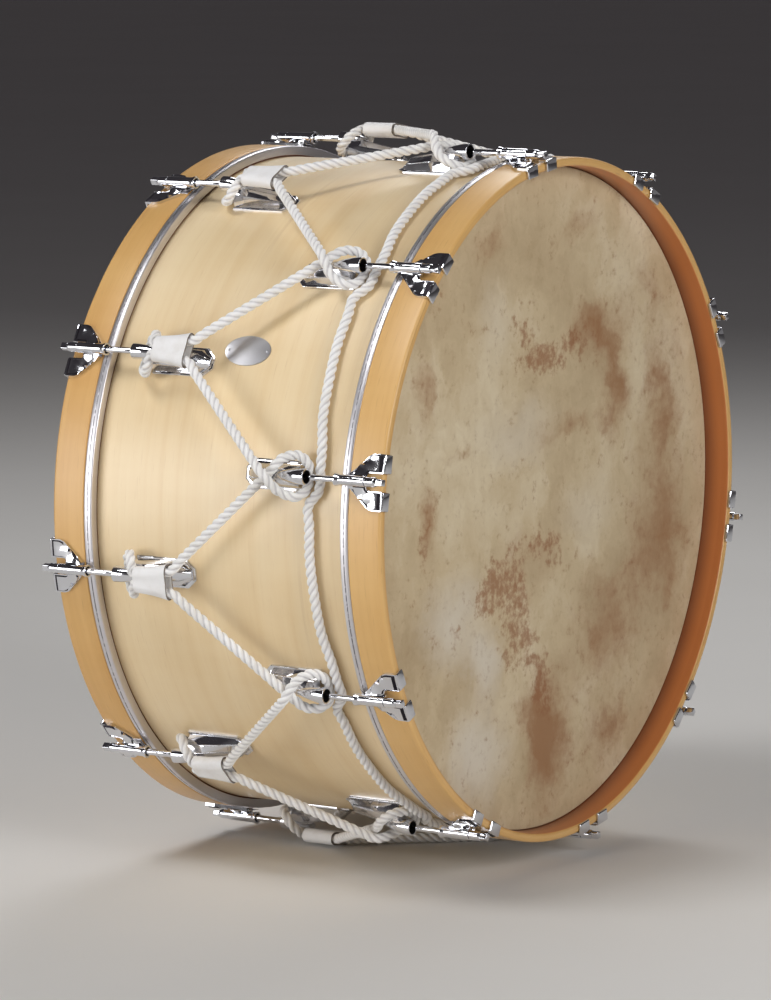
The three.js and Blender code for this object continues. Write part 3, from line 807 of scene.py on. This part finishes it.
def even_line(points, step):
    """Even steps along a smooth closed line through the points, straight on the long runs."""
    knots = []
    for index, start in enumerate(points):
        end = points[(index + 1) % len(points)]
        run = end - start
        knots.append(start)
        if run.length > long_run:
            knots.append(start + run.normalized() * straight_end)
            knots.append(end - run.normalized() * straight_end)
    headings = []
    for index, knot in enumerate(knots):
        arriving = knot - knots[index - 1]
        leaving = knots[(index + 1) % len(knots)] - knot
        headings.append((arriving.normalized() * leaving.length
                         + leaving.normalized() * arriving.length).normalized())
    line = []
    for index, knot in enumerate(knots):
        after = (index + 1) % len(knots)
        reach = (knots[after] - knot).length / 3
        line += interpolate_bezier(knot, knot + headings[index] * reach,
                                   knots[after] - headings[after] * reach, knots[after], 24)[:-1]
    travelled = [0.0]
    for index, point in enumerate(line):
        travelled.append(travelled[-1] + (line[(index + 1) % len(line)] - point).length)
    count = round(travelled[-1] / step)
    steps = []
    index = 0
    for number in range(count):
        goal = travelled[-1] * number / count
        while travelled[index + 1] < goal:
            index += 1
        share = (goal - travelled[index]) / (travelled[index + 1] - travelled[index])
        steps.append(line[index].lerp(line[(index + 1) % len(line)], share))
    return steps, travelled[-1]


def laid_rope(points):
    """A closed rope of laid strands that follows the points."""
    line, length = even_line(points, rope_step)
    count = len(line)
    turns = round(length / rope_pitch)
    frames = []
    for index, point in enumerate(line):
        heading = (line[(index + 1) % count] - line[index - 1]).normalized()
        outward = Vector((0, point.y, point.z)).normalized()
        outward = (outward - heading * outward.dot(heading)).normalized()
        frames.append((point, heading.cross(outward), outward))
    rope = bmesh.new()
    bmesh.ops.create_grid(rope, x_segments=count, y_segments=18, size=1.0)
    fibre = rope.verts.layers.float_vector.new("fibre")
    hollow = rope.verts.layers.float.new("groove")
    for vert in rope.verts:
        along = (vert.co.x + 1) / 2
        round_rope = (vert.co.y + 1) * math.pi
        depth = (0.5 - 0.5 * math.cos(strand_count * round_rope)) ** lay_sharpness
        radius = rope_radius * (1 - lay_depth * depth)
        angle = round_rope - math.tau * turns * along
        point, across, outward = frames[round(along * count) % count]
        vert[fibre] = Vector((math.cos(round_rope), math.sin(round_rope), along * length))
        vert[hollow] = depth
        vert.co = point + across * radius * math.cos(angle) + outward * radius * math.sin(angle)
    bmesh.ops.remove_doubles(rope, verts=rope.verts[:], dist=rope_weld)
    bmesh.ops.recalc_face_normals(rope, faces=rope.faces[:])
    return rope


def on_drum(along, sideways, radius, degrees):
    """A point by its place along the drum, its distance round the shell and its radius."""
    return Matrix.Rotation(-math.radians(degrees), 3, "X") @ Vector((along, sideways, radius))


def round_lug(half, way, degrees):
    """The zigzag's knots at one lug: along a half, round its middle and back."""
    back = [(along, -sideways, radius) for along, sideways, radius in reversed(half)]
    return [on_drum(way * along, way * sideways, radius, degrees)
            for along, sideways, radius in half + [loop_middle] + back]


# The zigzag's knots, each given along the drum, sideways and from the drum's axis. Its legs
# cross over each right-hand lug, and at one of these the other way round than at the rest.
ear_cut_back = 0.003
ear_inner_end, ear_rod_end = sorted(abs(corner.x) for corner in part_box("ear_01"))
ear_inner_end += ear_cut_back
ear_axis = shell_radius + 0.0315
ear_wide = 0.018
ear_narrow = 0.013
ear_leather = 0.0018
ear_room = 0.0007
ear_reach = ear_leather + ear_room + rope_radius
loop_half = [
    (lug_base_end - 0.001, loop_half_width, shell_radius + 0.0145),
    (lug_base_end + 0.006, lug_half_width - 0.0015, rope_over_shell + 0.0039)]
loop_middle = (lug_base_end + rope_radius + 0.0017, 0, rope_over_shell)
crossing_place = lug_base_end - 0.0275
crossing_low = shell_radius + 0.0201 + rope_radius + rope_gap
crossing_high = crossing_low + 2 * (rope_radius + rope_gap)
crossed_the_other_way = 6
right_half = [(lug_base_end - 0.0115, loop_half_width - 0.002, rod_height)] + loop_half
left_half = []
for share in (-0.05, 0.1, 0.5, 0.9, 1.05):
    left_half.append((ear_inner_end + (ear_rod_end - ear_inner_end) * share,
                      ear_wide + (ear_narrow - ear_wide) * share - ear_reach, ear_axis))
left_half.append((lug_base_end - 0.0085, loop_half_width - 0.003, ear_axis - 0.0075))
left_half += loop_half
zigzag = []
for number in range(station_count):
    degrees = first_station["left"] + station_step * number
    zigzag += round_lug(left_half, -1, degrees)
    degrees = first_station["right"] + station_step * number
    heights = [crossing_low, crossing_high]
    if number == crossed_the_other_way:
        heights.reverse()
    zigzag.append(on_drum(crossing_place, 0, heights[0], degrees))
    zigzag += round_lug(right_half, 1, degrees)
    zigzag.append(on_drum(crossing_place, 0, heights[1], degrees))
piece("zigzag_cotton_rope", laid_rope(zigzag), cotton.material, "drum", ["zigzag_rope"], 70)

# The ring rope's knots, each given beyond the lugs' rod ends and sideways from the station.
ring_lie = rope_over_shell + 0.0002
ring_at_lug = [(-0.0045, -0.044), (-0.006, -0.028), (0.005, -0.012), (0.005, 0.008),
               (0.004, 0.030), (0, 0.054)]
ring_between = [(-0.0025, -0.009), (-0.0045, 0.030)]
ring_line = []
for number in range(station_count):
    degrees = first_station["right"] + station_step * number
    for run, angle in ((ring_at_lug, degrees), (ring_between, degrees + station_step / 2)):
        for beyond, sideways in run:
            ring_line.append(on_drum(lug_rod_end + beyond, sideways,
                                     math.sqrt(ring_lie ** 2 - sideways ** 2), angle))
piece("ring_cotton_rope", laid_rope(ring_line), cotton.material, "drum", ["ring_rope"], 70)


# Ears: sleeves of thick white leather, one round each pair of rope legs. Pushed along the rope
# they draw the legs together. They are cut straight, slightly waisted, and glued underneath.
ear_waist = 0.0011
ear_squareness = 0.75
ear_dip = 0.0010
ear_edge = 0.0003
end_crease = 1.2
end_facing = 0.8
leather = Finish("ear_leather", Specular_IOR_Level=0.35, Sheen_Weight=0.1)
grain = leather.node("ShaderNodeTexVoronoi", {"feature": "DISTANCE_TO_EDGE"}, {
    "Vector": leather.place, "Scale": 750.0}, "Distance")
soiling = leather.noise(leather.place, 40.0, 4.0, 0.6)
leather_shade = leather.mixed(soiling.clipped(0.4, 0.75) * 0.7, colour(243, 242, 242),
                              colour(224, 220, 215))
leather.feed(leather.shader, {"Base Color": leather_shade, "Roughness": soiling * 0.2 + 0.5})
leather.bumped(grain.clipped(0.0, 0.25) * 0.5 + soiling * 0.5, 0.00015, 0.6)
# Painted shade: the leather's cut ends are painted dark for the shade inside the sleeve.
end_shade = Finish("ear_end_shade", Roughness=0.85, Specular_IOR_Level=0.2)
end_shade.feed(end_shade.shader, {"Base Color": end_shade.mixed(
    end_shade.noise(end_shade.place, 700.0, 2.0, 0.5), colour(150, 142, 136), colour(96, 88, 84))})


def make_ear():
    """One ear, in its station's own place."""
    sleeve = bmesh.new()
    bmesh.ops.create_grid(sleeve, x_segments=16, y_segments=56, size=1.0)
    for vert in sleeve.verts:
        share = (vert.co.x + 1) / 2
        around = (vert.co.y + 1) * math.pi
        half = ear_wide + (ear_narrow - ear_wide) * share - ear_waist * math.sin(math.pi * share)
        lean = math.cos(around)
        lift = math.sin(around)
        side = math.copysign(abs(lean) ** ear_squareness, lean)
        rise = math.copysign(abs(lift) ** ear_squareness, lift)
        between = 1 - min(1, abs(side * half) / (half - ear_reach)) ** 2
        vert.co = Vector((ear_inner_end + (ear_rod_end - ear_inner_end) * share, side * half,
                          ear_axis + rise * ear_reach - ear_dip * between * rise))
    bmesh.ops.remove_doubles(sleeve, verts=sleeve.verts[:], dist=tolerance)
    bmesh.ops.recalc_face_normals(sleeve, faces=sleeve.faces[:])
    bmesh.ops.solidify(sleeve, geom=sleeve.faces[:], thickness=ear_leather)
    ends = [e for e in sleeve.edges if abs(e.verts[0].co.x - e.verts[1].co.x) < tolerance
            and e.calc_face_angle(0) > end_crease]
    bmesh.ops.bevel(sleeve, geom=ends, offset=ear_edge, segments=2, profile=0.5, affect="EDGES",
                    material=-1)
    bmesh.ops.recalc_face_normals(sleeve, faces=sleeve.faces[:])
    # Painted shade: the cut ends take the dark second material.
    for face in sleeve.faces:
        face.material_index = int(abs(face.normal.x) > end_facing)
    return sleeve


for number in range(station_count):
    name = f"ear_{number + 1:02d}"
    ear = make_ear()
    bmesh.ops.transform(ear, matrix=station("left", number), verts=ear.verts[:])
    sleeve = piece(f"leather_{name}", ear, leather.material, "drum", [name], 40)
    sleeve.data.materials.append(end_shade.material)


# Plate: a plain oval of brushed metal, bent to the shell and held by two pins. It fills the place
# where such drums carry a plate.
plate_degrees = -60.3
plate_along = 0.0045
plate_half_length = 0.026
plate_half_width = 0.0155
plate_thickness = 0.0009
plate_border = 0.0012
plate_sunk = 0.0003
pin_place = 0.0215
pin_radius = 0.0013
pin_lift = 0.0007
pin_flatness = 0.6
plate_metal = Finish("plate_metal", Base_Color=colour(205, 206, 212), Metallic=1.0)
plate_lines = plate_metal.noise(plate_metal.stretched((30, 900, 900)), 1.0, 3.0, 0.6)
plate_metal.feed(plate_metal.shader, {"Roughness": plate_lines * 0.25 + 0.22})
plate_metal.bumped(plate_lines, 0.00005)
oval = bmesh.new()
bmesh.ops.create_circle(oval, cap_ends=True, segments=72, radius=1.0,
                        matrix=Matrix.Diagonal((plate_half_length, plate_half_width, 1, 1)))
for quarter in range(-3, 4):
    cut_across(oval, (0, plate_half_width * quarter / 4, 0), (0, 1, 0))
top, top_faces = drawn_out(oval, oval.faces[:])
bmesh.ops.translate(oval, verts=top, vec=(0, 0, plate_thickness))
bmesh.ops.inset_region(oval, faces=top_faces, thickness=plate_border, depth=-plate_sunk,
                       use_even_offset=True)
for along in (-pin_place, pin_place):
    bmesh.ops.create_uvsphere(oval, u_segments=20, v_segments=10, radius=pin_radius,
                              matrix=Matrix.Translation((along, 0, pin_lift))
                              @ Matrix.Diagonal((1, 1, pin_flatness, 1)))
for vert in oval.verts:
    vert.co.z += math.sqrt(shell_radius ** 2 - vert.co.y ** 2)
bmesh.ops.recalc_face_normals(oval, faces=oval.faces[:])
bmesh.ops.transform(oval, verts=oval.verts[:], matrix=Matrix.Translation((plate_along, 0, 0))
                    @ Matrix.Rotation(-math.radians(plate_degrees), 4, "X"))
piece("shell_plate", oval, plate_metal.material, "drum", crease=25)


# Studio: a plain pale floor at the drum's lowest point, and soft lights: a broad one low on the
# left, a small one above, a broad one towards the right-hand head and a weak one from behind.
floor_radius = 40.0
floor_finish = Finish("studio_floor", Roughness=0.75, Specular_IOR_Level=0.3)
floor_mottle = floor_finish.noise(floor_finish.place, 1.2, 4.0, 0.6)
floor_finish.feed(floor_finish.shader, {"Base Color": floor_finish.mixed(
    floor_mottle, colour(222, 220, 216), colour(230, 228, 225))})
ground = bmesh.new()
bmesh.ops.create_circle(ground, cap_ends=True, segments=96, radius=floor_radius,
                        matrix=Matrix.Translation((0, 0, solid_box[0].z)))
ground_mesh = bpy.data.meshes.new("studio_floor")
ground.to_mesh(ground_mesh)
ground.free()
ground_mesh.materials.append(floor_finish.material)
floor = bpy.data.objects.new("studio_floor", ground_mesh)
bpy.context.scene.collection.objects.link(floor)

for name, place, size, power in (
        ("side", (-2.2, -3.5, 0.15), (2.4, 1.9), 76),
        ("top", (-0.8, -1.8, 2.9), (1.1, 1.1), 40),
        ("head", (3.6, -1.5, 1.3), (1.6, 1.6), 76),
        ("back", (-0.8, 2.6, 2.6), (2.0, 0.8), 40)):
    lamp = bpy.data.lights.new(name, "AREA")
    lamp.shape = "RECTANGLE"
    lamp.size, lamp.size_y = size
    lamp.energy = power
    holder = bpy.data.objects.new(name, lamp)
    bpy.context.scene.collection.objects.link(holder)
    holder.location = place
    holder.rotation_euler = (-Vector(place)).to_track_quat("-Z", "Y").to_euler()

sky = bpy.data.worlds.new("studio")
bpy.context.scene.world = sky
sky.use_nodes = True
nodes, links = sky.node_tree.nodes, sky.node_tree.links
direction = nodes.new("ShaderNodeTexCoord")
height = nodes.new("ShaderNodeSeparateXYZ")
shading = nodes.new("ShaderNodeValToRGB")
stops = shading.color_ramp.elements
stops[0].position, stops[0].color = 0.0, (0.24, 0.23, 0.23, 1)
stops[1].position, stops[1].color = 0.45, (0.05, 0.045, 0.05, 1)
links.new(direction.outputs["Generated"], height.inputs[0])
links.new(height.outputs["Z"], shading.inputs[0])
links.new(shading.outputs[0], nodes["Background"].inputs["Color"])
nodes["Background"].inputs["Strength"].default_value = 0.75
bpy.context.scene.view_settings.view_transform = "Standard"
